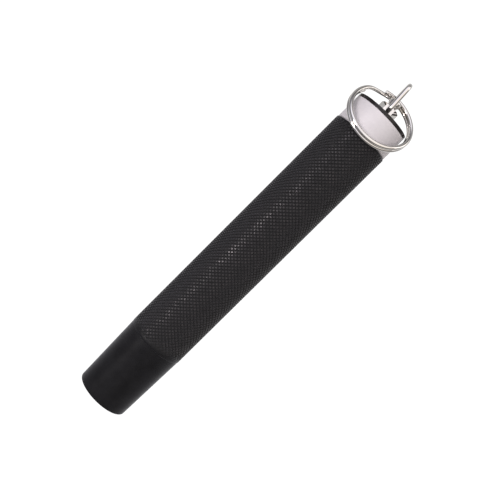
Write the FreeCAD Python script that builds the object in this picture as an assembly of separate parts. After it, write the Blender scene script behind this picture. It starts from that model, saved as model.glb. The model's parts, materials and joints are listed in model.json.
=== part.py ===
import FreeCAD, Part
import math
import os

# Pocket spring bar tool: a knurled tube handle with a pull-off nose cap over the
# working tip, a storage bay for spare tips, and a tail cap with a swivel key ring.
# All sizes are in millimetres.  X runs along the tool from the nose end face
# (x = 0) to the key ring, and +Z is up while the tool lies on a bench.

V = FreeCAD.Vector
AXIS = V(1, 0, 0)
ORIGIN = V(0, 0, 0)

# ---- driving dimensions: handle tube -------------------------------------------
HANDLE_R = 10.5
STEP_X = 26.0
TUBE_END_X = 122.2
TUBE_FRONT_R = 10.4
TUBE_FRONT_CHAMFER = 0.5
TUBE_TAIL_CHAMFER = 0.15
KNURL_END_X = 119.4
TAIL_LAND_FRONT_R = 10.46
TAIL_LAND_END_R = 10.40
TIP_BORE_R = 7.0
TIP_BORE_END_X = 52.0
BAY_BORE_R = 8.3
BAY_START_X = 57.0
TAIL_THREAD_R = 8.8
TAIL_THREAD_START_X = 111.0
WEB_VENT_R = 1.5

# ---- driving dimensions: nose cap ----------------------------------------------
NOSE_END_R = 9.67
NOSE_BASE_R = 10.38
NOSE_EDGE_R = 0.45
NOSE_WALL = 2.4
NOSE_CAVITY_R = 7.3
NOSE_MOUTH_DEPTH = 7.5
CAP_GAP = 0.06
RUNNING_CLEARANCE = 0.05

# ---- driving dimensions: tip holder, collet and nut ------------------------------
SPIGOT_R = 8.58
SPIGOT_LENGTH = 7.0
HOLDER_END_X = 42.0
NUT_POCKET_R = 5.8
NUT_POCKET_DEPTH = 5.2
CHUCK_THREAD_R = 3.6
CHUCK_NOSE_X = 18.6
COLLET_R = 2.4
COLLET_END_X = 36.0
COLLET_FRONT_X = 14.8
COLLET_HEAD_X = 17.5
COLLET_FRONT_R = 2.4
COLLET_HEAD_R = 3.2
COLLET_SLOT = 0.4
COLLET_SLOT_END_X = 28.0
NUT_R = 5.1
NUT_FRONT_X = 13.8
NUT_END_X = 23.6
NUT_MOUTH_R = 1.9
NUT_FLUTES = 18
NUT_FLUTE_R = 0.42

# ---- driving dimensions: tips ----------------------------------------------------
TIP_R = 1.5
TIP_LENGTH = 46.0
TIP_FRONT_X = 4.0
BLADE_LENGTH = 8.0
BLADE_THICKNESS = 0.8
PIN_R = 0.4
PIN_LENGTH = 3.0
PIN_CONE_LENGTH = 5.0

# ---- driving dimensions: seal rings ----------------------------------------------
SEAL_SECTION_R = 0.5
SEAL_GROOVE_WIDTH = 1.3
CAP_SEAL_X = 22.0
CAP_SEAL_BOTTOM_R = 7.6
TAIL_SEAL_X = 120.4
TAIL_SEAL_BOTTOM_R = 7.75

# ---- driving dimensions: tail cap and end disc -----------------------------------
COLLAR_R = 10.25
COLLAR_START_X = 122.3
COLLAR_END_X = 131.2
COLLAR_CHAMFER = 0.35
TAIL_SPIGOT_R = 8.75
TAIL_SPIGOT_X = 112.0
TAIL_CAVITY_R = 6.5
TAIL_WEB_X = 125.8
DISC_END_X = 132.4
DISC_BOSS_R = 6.0
DISC_BOSS_DEPTH = 1.0
DISC_EDGE_R = 0.2

# ---- driving dimensions: spare tip rack ------------------------------------------
RACK_R = 8.1
RACK_FLANGE_X = 108.0
RACK_PLUG_END_X = 117.0
RACK_SOCKET_DEPTH = 3.0
RACK_FRONT_X = 74.0
RACK_FRONT_THICKNESS = 3.0
RACK_STEM_R = 2.0
RACK_STEM_STEP_R = 1.5
RACK_SCREW_R = 0.8
RACK_SCREW_LENGTH = 5.0
RACK_SCREW_HEAD_R = 3.0
RACK_SCREW_HEAD_THICKNESS = 1.4
SPARE_CIRCLE_R = 4.9
SPARE_HOLE_R = 1.52
PAD_R = 8.2
PAD_THICKNESS = 5.0

# ---- driving dimensions: swivel, bail and split ring -----------------------------
POST_R = 1.4
POST_START_X = 124.0
NECK_R = 1.65
NECK_START_X = 136.1
HEAD_START_X = 136.7
HEAD_END_X = 138.7
HEAD_R = 2.15
CLIP_GROOVE_R = 1.0
CLIP_R = 2.9
CLIP_THICKNESS = 0.5
WASHER_R = 4.0
WASHER_THICKNESS = 0.5
HEX_ACROSS_FLATS = 6.0
HEX_START_X = 132.46
HEX_END_X = 136.05
HEX_CHAMFER_R = 3.35
PIVOT_X = 133.8
PIVOT_HOLE_DEPTH_Z = 1.65
BAIL_WIRE_R = 0.875
BAIL_CLEARANCE = 0.03
BAIL_HALF_WIDTH = 5.8
BAIL_TOP_X = 144.525
BAIL_TOP_BEND_R = 3.0
BAIL_FOOT_BEND_R = 1.6
BAIL_END_Z = 1.8
BAIL_REST_DEG = 3.3
RING_HALF_WIDTH = 0.75
RING_HALF_HEIGHT = 0.64
RING_MEAN_R = 11.4
RING_PITCH = 1.32
RING_HOOK = V(139.26, 0, -3.12)
RING_TILT_DEG = 40.7
RING_FIRST_END_DEG = 63.0
RING_SECOND_END_DEG = 25.0
RING_CROSSING_STEPS = 8


def revolve(profile):
    """Turn a closed outline of (x, r) points around the X axis into a solid."""
    points = [V(x, r, 0) for x, r in profile]
    face = Part.Face(Part.makePolygon(points + points[:1]))
    return face.revolve(ORIGIN, AXIS, 360)


def cylinder(radius, x0, x1, y=0.0, z=0.0):
    """A cylinder along X from x0 to x1."""
    return Part.makeCylinder(radius, x1 - x0, V(x0, y, z), AXIS)


def cone(radius0, radius1, x0, x1, y=0.0, z=0.0):
    """A cone along X with radius0 at x0 and radius1 at x1."""
    return Part.makeCone(radius0, radius1, x1 - x0, V(x0, y, z), AXIS)


def seal_ring(centre_x, bottom_r):
    """A round rubber ring seated in a groove whose floor has radius bottom_r."""
    middle_r = bottom_r + SEAL_SECTION_R
    return Part.makeTorus(middle_r, SEAL_SECTION_R, V(centre_x, 0, 0), AXIS)


def seal_groove(centre_x, bottom_r, outer_r):
    """The material a seal ring's groove takes out of a shaft of radius outer_r."""
    x0 = centre_x - SEAL_GROOVE_WIDTH / 2
    x1 = centre_x + SEAL_GROOVE_WIDTH / 2
    return cylinder(outer_r + 1, x0, x1).cut(cylinder(bottom_r, x0, x1))


# ---- handle tube -------------------------------------------------------------------
def handle_tube():
    """Knurled tube: front bore for the tip holder, a web, and the storage bay."""
    front, end = STEP_X, TUBE_END_X
    return revolve([
        (front, TIP_BORE_R),
        (front, TUBE_FRONT_R),
        (front + TUBE_FRONT_CHAMFER, HANDLE_R),
        (KNURL_END_X, HANDLE_R),
        (KNURL_END_X, TAIL_LAND_FRONT_R),
        (end - TUBE_TAIL_CHAMFER, TAIL_LAND_END_R),
        (end, TAIL_LAND_END_R - TUBE_TAIL_CHAMFER),
        (end, TAIL_THREAD_R + 0.3),
        (end - 0.3, TAIL_THREAD_R),
        (TAIL_THREAD_START_X, TAIL_THREAD_R),
        (TAIL_THREAD_START_X, BAY_BORE_R),
        (BAY_START_X, BAY_BORE_R),
        (BAY_START_X, WEB_VENT_R),
        (TIP_BORE_END_X, WEB_VENT_R),
        (TIP_BORE_END_X, TIP_BORE_R),
    ])


# ---- nose cap ------------------------------------------------------------------------
def nose_cap():
    """Smooth tapered cap, closed at the nose, that slides over the spigot's seal ring."""
    mouth_x = STEP_X - CAP_GAP
    mouth_r = SPIGOT_R + 0.07
    body = cone(NOSE_END_R, NOSE_BASE_R, 0, mouth_x)
    nose_edge = [e for e in body.Edges if abs(e.BoundBox.XMax) < 1e-6]
    body = body.makeFillet(NOSE_EDGE_R, nose_edge)
    cavity = revolve([
        (NOSE_WALL, 0),
        (NOSE_WALL, NOSE_CAVITY_R - 1.2),
        (NOSE_WALL + 1.2, NOSE_CAVITY_R),
        (mouth_x - NOSE_MOUTH_DEPTH, NOSE_CAVITY_R),
        (mouth_x - NOSE_MOUTH_DEPTH, mouth_r),
        (mouth_x - 0.4, mouth_r),
        (mouth_x, mouth_r + 0.4),
        (mouth_x + 1, mouth_r + 0.4),
        (mouth_x + 1, 0),
    ])
    return body.cut(cavity)


# ---- tip holder, collet, nut ------------------------------------------------------------
def tip_holder():
    """Brass bush fixed in the tube's front bore: cap spigot outside, chuck nose inside."""
    spigot_x = STEP_X - SPIGOT_LENGTH
    pocket_end_x = spigot_x + NUT_POCKET_DEPTH
    bore_r = COLLET_R + RUNNING_CLEARANCE
    body = revolve([
        (CHUCK_NOSE_X, bore_r),
        (CHUCK_NOSE_X, CHUCK_THREAD_R - 0.3),
        (CHUCK_NOSE_X + 0.3, CHUCK_THREAD_R),
        (pocket_end_x, CHUCK_THREAD_R),
        (pocket_end_x, NUT_POCKET_R),
        (spigot_x, NUT_POCKET_R),
        (spigot_x, SPIGOT_R - 0.5),
        (spigot_x + 0.5, SPIGOT_R),
        (STEP_X, SPIGOT_R),
        (STEP_X, TIP_BORE_R),
        (HOLDER_END_X - 0.5, TIP_BORE_R),
        (HOLDER_END_X, TIP_BORE_R - 0.5),
        (HOLDER_END_X, bore_r),
    ])
    return body.cut(seal_groove(CAP_SEAL_X, CAP_SEAL_BOTTOM_R, SPIGOT_R))


def collet():
    """Sprung steel sleeve with three slots and a tapered head that grips the tip."""
    body = revolve([
        (COLLET_FRONT_X, TIP_R),
        (COLLET_FRONT_X, COLLET_FRONT_R),
        (COLLET_HEAD_X, COLLET_HEAD_R),
        (COLLET_HEAD_X, COLLET_R),
        (COLLET_END_X, COLLET_R),
        (COLLET_END_X, TIP_R),
    ])
    reach = COLLET_HEAD_R + 1
    slot_length = COLLET_SLOT_END_X - COLLET_FRONT_X + 1
    for turn in range(3):
        slot = Part.makeBox(slot_length, COLLET_SLOT, reach,
                            V(COLLET_FRONT_X - 1, -COLLET_SLOT / 2, 0))
        slot.rotate(ORIGIN, AXIS, 120 * turn)
        body = body.cut(slot)
    return body


def collet_nut():
    """Fluted nut that screws over the chuck nose and closes the collet's head."""
    thread_r = CHUCK_THREAD_R + RUNNING_CLEARANCE
    taper = (COLLET_HEAD_R - COLLET_FRONT_R) / (COLLET_HEAD_X - COLLET_FRONT_X)
    seat_start_r = COLLET_FRONT_R + 0.06
    seat_end_r = seat_start_r + taper * (CHUCK_NOSE_X - COLLET_FRONT_X - 0.6)
    body = revolve([
        (NUT_FRONT_X, NUT_MOUTH_R),
        (NUT_FRONT_X, NUT_R - 1.0),
        (NUT_FRONT_X + 1.0, NUT_R),
        (NUT_END_X - 0.3, NUT_R),
        (NUT_END_X, NUT_R - 0.3),
        (NUT_END_X, thread_r),
        (CHUCK_NOSE_X - 0.6, thread_r),
        (CHUCK_NOSE_X - 0.6, seat_end_r),
        (COLLET_FRONT_X, seat_start_r),
        (COLLET_FRONT_X - 0.3, NUT_MOUTH_R),
    ])
    for k in range(NUT_FLUTES):
        angle = 2 * math.pi * k / NUT_FLUTES
        y = NUT_R * math.cos(angle)
        z = NUT_R * math.sin(angle)
        body = body.cut(cylinder(NUT_FLUTE_R, NUT_FRONT_X - 1, NUT_END_X - 4.4, y, z))
    return body


# ---- tips --------------------------------------------------------------------------------
def tip_shank():
    """Round shank of a double-ended tip, from the blade's root to the pin's cone."""
    end_x = TIP_LENGTH - PIN_LENGTH - PIN_CONE_LENGTH
    return cylinder(TIP_R, BLADE_LENGTH, end_x)


def pin_end():
    """Slim round pin at the rear end, for drilled lugs."""
    cone_x = TIP_LENGTH - PIN_LENGTH - PIN_CONE_LENGTH
    pin_x = cone_x + PIN_CONE_LENGTH
    return cone(TIP_R, PIN_R, cone_x, pin_x).fuse(cylinder(PIN_R, pin_x, TIP_LENGTH))


def fork_blade(width, notch_width, notch_depth):
    """Flat blade ground from the round shank, with a U notch across its front edge."""
    root = cylinder(TIP_R, 0, BLADE_LENGTH)
    flat_length = BLADE_LENGTH - 2.0
    half_t = BLADE_THICKNESS / 2
    points = [
        V(-1, 0, half_t * 0.7),
        V(0, 0, half_t * 0.7),
        V(flat_length, 0, half_t),
        V(BLADE_LENGTH, 0, TIP_R + 0.1),
        V(BLADE_LENGTH, 0, TIP_R + 3),
        V(-1, 0, TIP_R + 3),
    ]
    relief = Part.Face(Part.makePolygon(points + points[:1])).extrude(V(0, 10, 0))
    relief.translate(V(0, -5, 0))
    lower = relief.mirror(ORIGIN, V(0, 0, 1))
    blade = root.cut(relief).cut(lower)
    side = Part.makeBox(flat_length + 1, 5, 10, V(-1, width / 2, -5))
    blade = blade.cut(side).cut(side.mirror(ORIGIN, V(0, 1, 0)))
    notch = Part.makeBox(notch_depth, notch_width, 10, V(-1, -notch_width / 2, -5))
    end = Part.makeCylinder(notch_width / 2, 10, V(notch_depth - 1, 0, -5), V(0, 0, 1))
    return blade.cut(notch).cut(end)


def fork_tip(width, notch_width, notch_depth):
    """Double-ended tip: a notched fork in front and a pin at the back."""
    blade = fork_blade(width, notch_width, notch_depth)
    return blade.fuse(tip_shank()).fuse(pin_end()).removeSplitter()


def round_tip(end_r, end_length):
    """Double-ended tip: a short round end of radius end_r in front, a pin behind."""
    front = cylinder(end_r, 0, end_length)
    taper = cone(end_r, TIP_R, end_length, BLADE_LENGTH)
    return front.fuse(taper).fuse(tip_shank()).fuse(pin_end()).removeSplitter()


def spare_place(tip, index):
    """Stand a spare tip in the rack's hole number index, pin end in the rear socket."""
    angle = math.radians(45 + 90 * index)
    seat_x = RACK_FLANGE_X + RACK_SOCKET_DEPTH
    y = SPARE_CIRCLE_R * math.cos(angle)
    z = SPARE_CIRCLE_R * math.sin(angle)
    tip.translate(V(seat_x - TIP_LENGTH, y, z))
    return tip


# ---- tail cap, end disc and seal -------------------------------------------------------------
def tail_cap():
    """Satin tail collar with a spigot into the tube and a cavity for the rack's plug."""
    body = revolve([
        (TAIL_SPIGOT_X, TAIL_CAVITY_R),
        (TAIL_SPIGOT_X, TAIL_SPIGOT_R - 0.5),
        (TAIL_SPIGOT_X + 0.5, TAIL_SPIGOT_R),
        (COLLAR_START_X, TAIL_SPIGOT_R),
        (COLLAR_START_X, COLLAR_R - COLLAR_CHAMFER),
        (COLLAR_START_X + COLLAR_CHAMFER, COLLAR_R),
        (COLLAR_END_X, COLLAR_R),
        (COLLAR_END_X, DISC_BOSS_R),
        (COLLAR_END_X - DISC_BOSS_DEPTH, DISC_BOSS_R),
        (COLLAR_END_X - DISC_BOSS_DEPTH, POST_R),
        (TAIL_WEB_X, POST_R),
        (TAIL_WEB_X, TAIL_CAVITY_R),
    ])
    return body.cut(seal_groove(TAIL_SEAL_X, TAIL_SEAL_BOTTOM_R, TAIL_SPIGOT_R))


def end_disc():
    """Black disc pressed on the tail cap's end, with a boss in the cap's recess."""
    disc = cylinder(COLLAR_R, COLLAR_END_X, DISC_END_X)
    rims = [e for e in disc.Edges if e.BoundBox.XMin > DISC_END_X - 1e-6]
    disc = disc.makeFillet(DISC_EDGE_R, rims)
    boss = cylinder(DISC_BOSS_R, COLLAR_END_X - DISC_BOSS_DEPTH, COLLAR_END_X)
    hole = cylinder(POST_R, COLLAR_END_X - DISC_BOSS_DEPTH - 1, DISC_END_X + 1)
    return disc.fuse(boss).cut(hole).removeSplitter()


# ---- spare tip rack --------------------------------------------------------------------------
def spare_holes(x0, x1):
    """Four holes for the spare tips' shanks, as one cutter."""
    holes = []
    for index in range(4):
        angle = math.radians(45 + 90 * index)
        y = SPARE_CIRCLE_R * math.cos(angle)
        z = SPARE_CIRCLE_R * math.sin(angle)
        holes.append(cylinder(SPARE_HOLE_R, x0, x1, y, z))
    return Part.makeCompound(holes)


def rack_rear_plate():
    """Plastic plug pressed into the tail cap, with four blind sockets for tips."""
    flange = cylinder(RACK_R, RACK_FLANGE_X, TAIL_SPIGOT_X)
    plug = cylinder(TAIL_CAVITY_R, TAIL_SPIGOT_X, RACK_PLUG_END_X)
    sockets = spare_holes(RACK_FLANGE_X - 1, RACK_FLANGE_X + RACK_SOCKET_DEPTH)
    bore = cylinder(RACK_STEM_R, RACK_FLANGE_X - 1, RACK_PLUG_END_X + 1)
    return flange.fuse(plug).cut(sockets).cut(bore)


def rack_front_plate():
    """Plastic guide plate with four through holes for the tips' shanks."""
    end_x = RACK_FRONT_X + RACK_FRONT_THICKNESS
    plate = cylinder(RACK_R, RACK_FRONT_X, end_x)
    bore = cylinder(RACK_STEM_STEP_R, RACK_FRONT_X - 1, end_x + 1)
    return plate.cut(spare_holes(RACK_FRONT_X - 1, end_x + 1)).cut(bore)


def rack_stem():
    """Steel rod that joins the two plates, stepped and tapped at its front end."""
    plate_end_x = RACK_FRONT_X + RACK_FRONT_THICKNESS
    rod = cylinder(RACK_STEM_R, plate_end_x, RACK_PLUG_END_X)
    step = cylinder(RACK_STEM_STEP_R, RACK_FRONT_X, plate_end_x)
    tapped = cylinder(RACK_SCREW_R, RACK_FRONT_X - 1, RACK_FRONT_X + RACK_SCREW_LENGTH)
    return rod.fuse(step).cut(tapped)


def rack_screw():
    """Slotted screw that holds the front plate on the stem."""
    head_x = RACK_FRONT_X - RACK_SCREW_HEAD_THICKNESS
    head = cylinder(RACK_SCREW_HEAD_R, head_x, RACK_FRONT_X)
    shank = cylinder(RACK_SCREW_R, RACK_FRONT_X, RACK_FRONT_X + RACK_SCREW_LENGTH)
    slot = Part.makeBox(1.6, 0.6, 10, V(head_x - 1, -0.3, -5))
    return head.cut(slot).fuse(shank)


def bay_pad():
    """Soft foam disc on the web that stops the tips from rattling."""
    return cylinder(PAD_R, BAY_START_X, BAY_START_X + PAD_THICKNESS)


# ---- swivel ------------------------------------------------------------------------------------
def swivel_post():
    """Steel post with a flattened ball head, a neck, and a clip groove inside the cap."""
    half = (HEAD_END_X - HEAD_START_X) / 2
    middle_x = HEAD_START_X + half
    flat_r = math.sqrt(HEAD_R ** 2 - half ** 2)
    head_outline = Part.Wire([
        Part.makeLine(V(HEAD_START_X, 0, 0), V(HEAD_START_X, flat_r, 0)),
        Part.Arc(V(HEAD_START_X, flat_r, 0), V(middle_x, HEAD_R, 0),
                 V(HEAD_END_X, flat_r, 0)).toShape(),
        Part.makeLine(V(HEAD_END_X, flat_r, 0), V(HEAD_END_X, 0, 0)),
        Part.makeLine(V(HEAD_END_X, 0, 0), V(HEAD_START_X, 0, 0)),
    ])
    head = Part.Face(head_outline).revolve(ORIGIN, AXIS, 360)
    shank = cylinder(POST_R, POST_START_X, NECK_START_X)
    neck = cylinder(NECK_R, NECK_START_X, HEAD_START_X)
    clip_x = TAIL_WEB_X - WASHER_THICKNESS - CLIP_THICKNESS
    groove = cylinder(POST_R + 1, clip_x, clip_x + CLIP_THICKNESS)
    groove = groove.cut(cylinder(CLIP_GROOVE_R, clip_x, clip_x + CLIP_THICKNESS))
    return shank.cut(groove).fuse(neck).fuse(head).removeSplitter()


def post_washer():
    """Flat washer under the retaining clip."""
    x0 = TAIL_WEB_X - WASHER_THICKNESS
    return cylinder(WASHER_R, x0, TAIL_WEB_X).cut(cylinder(POST_R, x0 - 1, TAIL_WEB_X + 1))


def post_clip():
    """E-shaped retaining clip in the post's groove."""
    x1 = TAIL_WEB_X - WASHER_THICKNESS
    x0 = x1 - CLIP_THICKNESS
    disc = cylinder(CLIP_R, x0, x1)
    disc = disc.cut(cylinder(CLIP_GROOVE_R, x0 - 1, x1 + 1))
    mouth = Part.makeBox(CLIP_THICKNESS + 2, 1.6, 5, V(x0 - 1, -0.8, 0))
    disc = disc.cut(mouth)
    for turn in (130, 230):
        notch = Part.makeBox(CLIP_THICKNESS + 2, 1.1, 3, V(x0 - 1, -0.55, POST_R + 0.3))
        notch.rotate(ORIGIN, AXIS, turn)
        disc = disc.cut(notch)
    return disc


def swivel_collar():
    """Hexagonal collar that turns on the post and carries the bail's two ends."""
    corner_r = HEX_ACROSS_FLATS / math.sqrt(3)
    corners = []
    for k in range(6):
        angle = math.radians(60 * k)
        corners.append(V(HEX_START_X, corner_r * math.cos(angle), corner_r * math.sin(angle)))
    prism = Part.Face(Part.makePolygon(corners + corners[:1]))
    prism = prism.extrude(V(HEX_END_X - HEX_START_X, 0, 0))
    envelope = revolve([
        (HEX_START_X, 0),
        (HEX_START_X, HEX_CHAMFER_R),
        (HEX_START_X + 0.15, corner_r + 0.1),
        (HEX_END_X - 0.45, corner_r + 0.1),
        (HEX_END_X, HEX_CHAMFER_R - 0.5),
        (HEX_END_X, 0),
    ])
    bore = cylinder(POST_R + RUNNING_CLEARANCE, HEX_START_X - 1, HEX_END_X + 1)
    body = prism.common(envelope).cut(bore)
    hole_r = BAIL_WIRE_R + BAIL_CLEARANCE
    for side in (-1, 1):
        start = V(PIVOT_X, 0, side * PIVOT_HOLE_DEPTH_Z)
        body = body.cut(Part.makeCylinder(hole_r, 5, start, V(0, 0, side)))
    return body


def bail():
    """Bent wire loop whose inward ends sit in the collar's two side holes."""
    w, top, foot = BAIL_HALF_WIDTH, BAIL_TOP_BEND_R, BAIL_FOOT_BEND_R
    c = math.sqrt(0.5)

    def bend(centre_x, centre_z, radius, side, start, middle, end):
        """One rounded corner, given three unit directions from its centre."""
        points = [V(centre_x + radius * dx, 0, side * (centre_z + radius * dz))
                  for dx, dz in (start, middle, end)]
        return Part.Arc(*points).toShape()

    def line(x0, z0, x1, z1):
        return Part.makeLine(V(x0, 0, z0), V(x1, 0, z1))

    foot_x = PIVOT_X + foot
    foot_z = w - foot
    top_x = BAIL_TOP_X - top
    top_z = w - top
    path = Part.Wire([
        line(PIVOT_X, BAIL_END_Z, PIVOT_X, foot_z),
        bend(foot_x, foot_z, foot, 1, (-1, 0), (-c, c), (0, 1)),
        line(foot_x, w, top_x, w),
        bend(top_x, top_z, top, 1, (0, 1), (c, c), (1, 0)),
        line(BAIL_TOP_X, top_z, BAIL_TOP_X, -top_z),
        bend(top_x, top_z, top, -1, (1, 0), (c, c), (0, 1)),
        line(top_x, -w, foot_x, -w),
        bend(foot_x, foot_z, foot, -1, (0, 1), (-c, c), (-1, 0)),
        line(PIVOT_X, -foot_z, PIVOT_X, -BAIL_END_Z),
    ])
    section = Part.Wire(Part.makeCircle(BAIL_WIRE_R, V(PIVOT_X, 0, BAIL_END_Z), V(0, 0, 1)))
    loop = path.makePipeShell([section], True, False)
    loop.rotate(V(PIVOT_X, 0, 0), V(0, 0, 1), BAIL_REST_DEG)
    return loop


def ring_path():
    """Centre line of the split ring in its own plane: two flat turns and a crossover.

    Angle 0 points at the hooked side and angles run anticlockwise about local +Z.
    The wire crosses from the lower to the upper turn in the gap between its cut ends.
    """
    def point(angle_deg, height):
        angle = math.radians(angle_deg)
        return V(RING_MEAN_R * math.cos(angle), RING_MEAN_R * math.sin(angle), height)

    def flat_turn(start_deg, end_deg, height):
        middle_deg = (start_deg + end_deg) / 2
        return Part.Arc(point(start_deg, height), point(middle_deg, height),
                        point(end_deg, height)).toShape()

    low, high = -RING_PITCH / 2, RING_PITCH / 2
    first, second = RING_FIRST_END_DEG, RING_SECOND_END_DEG
    crossing = []
    for k in range(RING_CROSSING_STEPS + 1):
        t = k / RING_CROSSING_STEPS
        rise = t * t * (3 - 2 * t)
        crossing.append(point(second + (first - second) * t, low + (high - low) * rise))
    spline = Part.BSplineCurve()
    tangent0 = V(0, 0, 1).cross(V(crossing[0].x, crossing[0].y, 0)).normalize()
    tangent1 = V(0, 0, 1).cross(V(crossing[-1].x, crossing[-1].y, 0)).normalize()
    spline.interpolate(Points=crossing, InitialTangent=tangent0, FinalTangent=tangent1)
    lower_turn = flat_turn(first, second + 360, low)
    upper_turn = flat_turn(first, second + 360, high)
    return Part.Wire([lower_turn, spline.toShape(), upper_turn])


def split_ring():
    """Two-turn split ring of oval wire, hooked through the bail and lying back."""
    path = ring_path()
    start = path.Edges[0].valueAt(path.Edges[0].FirstParameter)
    outward = V(start.x, start.y, 0).normalize()
    upward = V(0, 0, 1)
    oval = Part.Ellipse(start + outward * RING_HALF_WIDTH,
                        start + upward * RING_HALF_HEIGHT, start)
    sweep = Part.BRepOffsetAPI.MakePipeShell(path)
    sweep.setBiNormalMode(upward)
    sweep.add(Part.Wire(oval.toShape()))
    sweep.build()
    sweep.makeSolid()
    ring = sweep.shape()
    tilt = math.radians(RING_TILT_DEG)
    to_hook = V(math.cos(tilt), 0, -math.sin(tilt))
    normal = V(math.sin(tilt), 0, math.cos(tilt))
    side = normal.cross(to_hook)
    centre = RING_HOOK - to_hook * RING_MEAN_R
    place = FreeCAD.Matrix(
        to_hook.x, side.x, normal.x, centre.x,
        to_hook.y, side.y, normal.y, centre.y,
        to_hook.z, side.z, normal.z, centre.z,
        0, 0, 0, 1)
    ring.Placement = FreeCAD.Placement(place)
    return ring


def working_tip():
    """The standard fork tip, held in the collet."""
    tip = fork_tip(3.0, 1.3, 1.8)
    tip.translate(V(TIP_FRONT_X, 0, 0))
    return tip


NODES = {
    "knurled_handle": handle_tube,
    "nose_cap": nose_cap,
    "tip_holder": tip_holder,
    "cap_seal_ring": lambda: seal_ring(CAP_SEAL_X, CAP_SEAL_BOTTOM_R),
    "collet": collet,
    "collet_nut": collet_nut,
    "fork_tip": working_tip,
    "bay_pad": bay_pad,
    "tail_cap": tail_cap,
    "tail_seal_ring": lambda: seal_ring(TAIL_SEAL_X, TAIL_SEAL_BOTTOM_R),
    "end_disc": end_disc,
    "rack_rear_plate": rack_rear_plate,
    "rack_front_plate": rack_front_plate,
    "rack_stem": rack_stem,
    "rack_screw": rack_screw,
    "spare_wide_fork_tip": lambda: spare_place(fork_tip(3.0, 1.7, 2.2), 0),
    "spare_fine_fork_tip": lambda: spare_place(fork_tip(1.4, 0.7, 1.2), 1),
    "spare_pin_tip": lambda: spare_place(round_tip(0.3, 2.5), 2),
    "spare_pusher_tip": lambda: spare_place(round_tip(0.7, 3.5), 3),
    "swivel_post": swivel_post,
    "post_washer": post_washer,
    "post_clip": post_clip,
    "swivel_collar": swivel_collar,
    "bail": bail,
    "split_ring": split_ring,
}


def main():
    os.makedirs("parts", exist_ok=True)
    for name, make in NODES.items():
        shape = make()
        if not shape.isValid() or len(shape.Solids) != 1:
            raise RuntimeError(name + " isn't one valid solid")
        shape.Solids[0].exportStep("parts/" + name + ".step")
        print(name, round(shape.Volume, 2))


main()
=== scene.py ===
import json
import math
import random

import bpy
from mathutils import Matrix, Vector


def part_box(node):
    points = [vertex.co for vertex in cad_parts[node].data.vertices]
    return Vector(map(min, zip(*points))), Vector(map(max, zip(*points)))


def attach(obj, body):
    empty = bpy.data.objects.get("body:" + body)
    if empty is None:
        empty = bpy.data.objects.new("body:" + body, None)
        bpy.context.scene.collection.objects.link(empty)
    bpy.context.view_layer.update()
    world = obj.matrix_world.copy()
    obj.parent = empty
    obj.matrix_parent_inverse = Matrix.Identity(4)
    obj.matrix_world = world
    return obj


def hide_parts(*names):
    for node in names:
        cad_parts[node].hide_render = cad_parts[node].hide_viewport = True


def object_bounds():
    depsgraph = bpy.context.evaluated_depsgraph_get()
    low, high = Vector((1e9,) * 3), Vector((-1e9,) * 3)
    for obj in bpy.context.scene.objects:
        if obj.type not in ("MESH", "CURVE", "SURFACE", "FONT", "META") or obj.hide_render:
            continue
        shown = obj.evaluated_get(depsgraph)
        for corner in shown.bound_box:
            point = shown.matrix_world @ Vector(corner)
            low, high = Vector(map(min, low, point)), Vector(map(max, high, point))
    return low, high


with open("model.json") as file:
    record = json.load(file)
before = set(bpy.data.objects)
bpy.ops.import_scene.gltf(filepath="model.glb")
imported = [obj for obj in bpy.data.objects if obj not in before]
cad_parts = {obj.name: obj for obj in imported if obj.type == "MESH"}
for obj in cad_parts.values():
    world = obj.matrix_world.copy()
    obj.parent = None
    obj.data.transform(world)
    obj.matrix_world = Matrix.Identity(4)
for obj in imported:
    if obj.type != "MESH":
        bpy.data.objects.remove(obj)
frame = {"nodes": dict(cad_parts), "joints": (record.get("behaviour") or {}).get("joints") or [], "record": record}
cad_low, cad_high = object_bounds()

# The looks of a pocket spring bar tool.  Everything is in metres in the CAD frame:
# X runs from the nose to the key ring, and +Z is up with the tool lying down.

MM = 0.001
TURN = 2 * math.pi
TOLERANCE = 1e-6  # radii closer than this are the same, and one below it is on the axis
NODES = frame["nodes"]
JOINTS = {j["name"]: j for j in frame["joints"]}
MOUNTS = {m["name"]: m for m in frame["record"]["mounts"]}
NODE_SLOTS = {s["node"]: s["material_slot"] for s in frame["record"]["subparts"]}

# ---- knurl ------------------------------------------------------------------------
KNURL_STARTS = 42
KNURL_AXIAL_PITCH = 1.45 * MM
KNURL_DEPTH = 0.34 * MM
KNURL_DEPTH_SPREAD = 0.06
KNURL_SHALLOW_SHARE = 0.50
KNURL_FLAT_SHARE = 0.46
KNURL_WEAR = 0.012 * MM
KNURL_SEED = 7
KNURL_FRONT_LAND = 0.45 * MM
KNURL_TAIL_LAND = 0.30 * MM
KNURL_FRONT_RUNOUT = 3.4 * MM
KNURL_TAIL_RUNOUT = 0.9 * MM
# The knurl's front end is ragged: each wave is (share, waves round the tube, phase).
RUNOUT_WAVES = ((0.30, 3, 0.6), (0.22, 8, 1.0))
RUNOUT_WAVE_REACH = 0.6
# How much a vertex is rubbed: 0 on a land, GROOVE_RUB in a groove, 1 on a full flat.
RUB_ATTRIBUTE = "rub"
GROOVE_RUB = 0.35

# ---- the tube's lands: (distance from the end face, drop below the knurl's crest) -----
FRONT_LAND = ((0.25 * MM, 0.04 * MM), (0.10 * MM, 0.09 * MM), (0.03 * MM, 0.105 * MM),
              (0.00 * MM, 0.14 * MM))
TAIL_LAND = ((0.00 * MM, 0.20 * MM), (0.03 * MM, 0.10 * MM), (0.10 * MM, 0.06 * MM),
             (0.22 * MM, 0.02 * MM))
THINNEST_WALL_MM = 1.2   # a vertex deeper than this below the crest is in the bore
SAME_RADIUS_MM = 0.03

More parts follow.
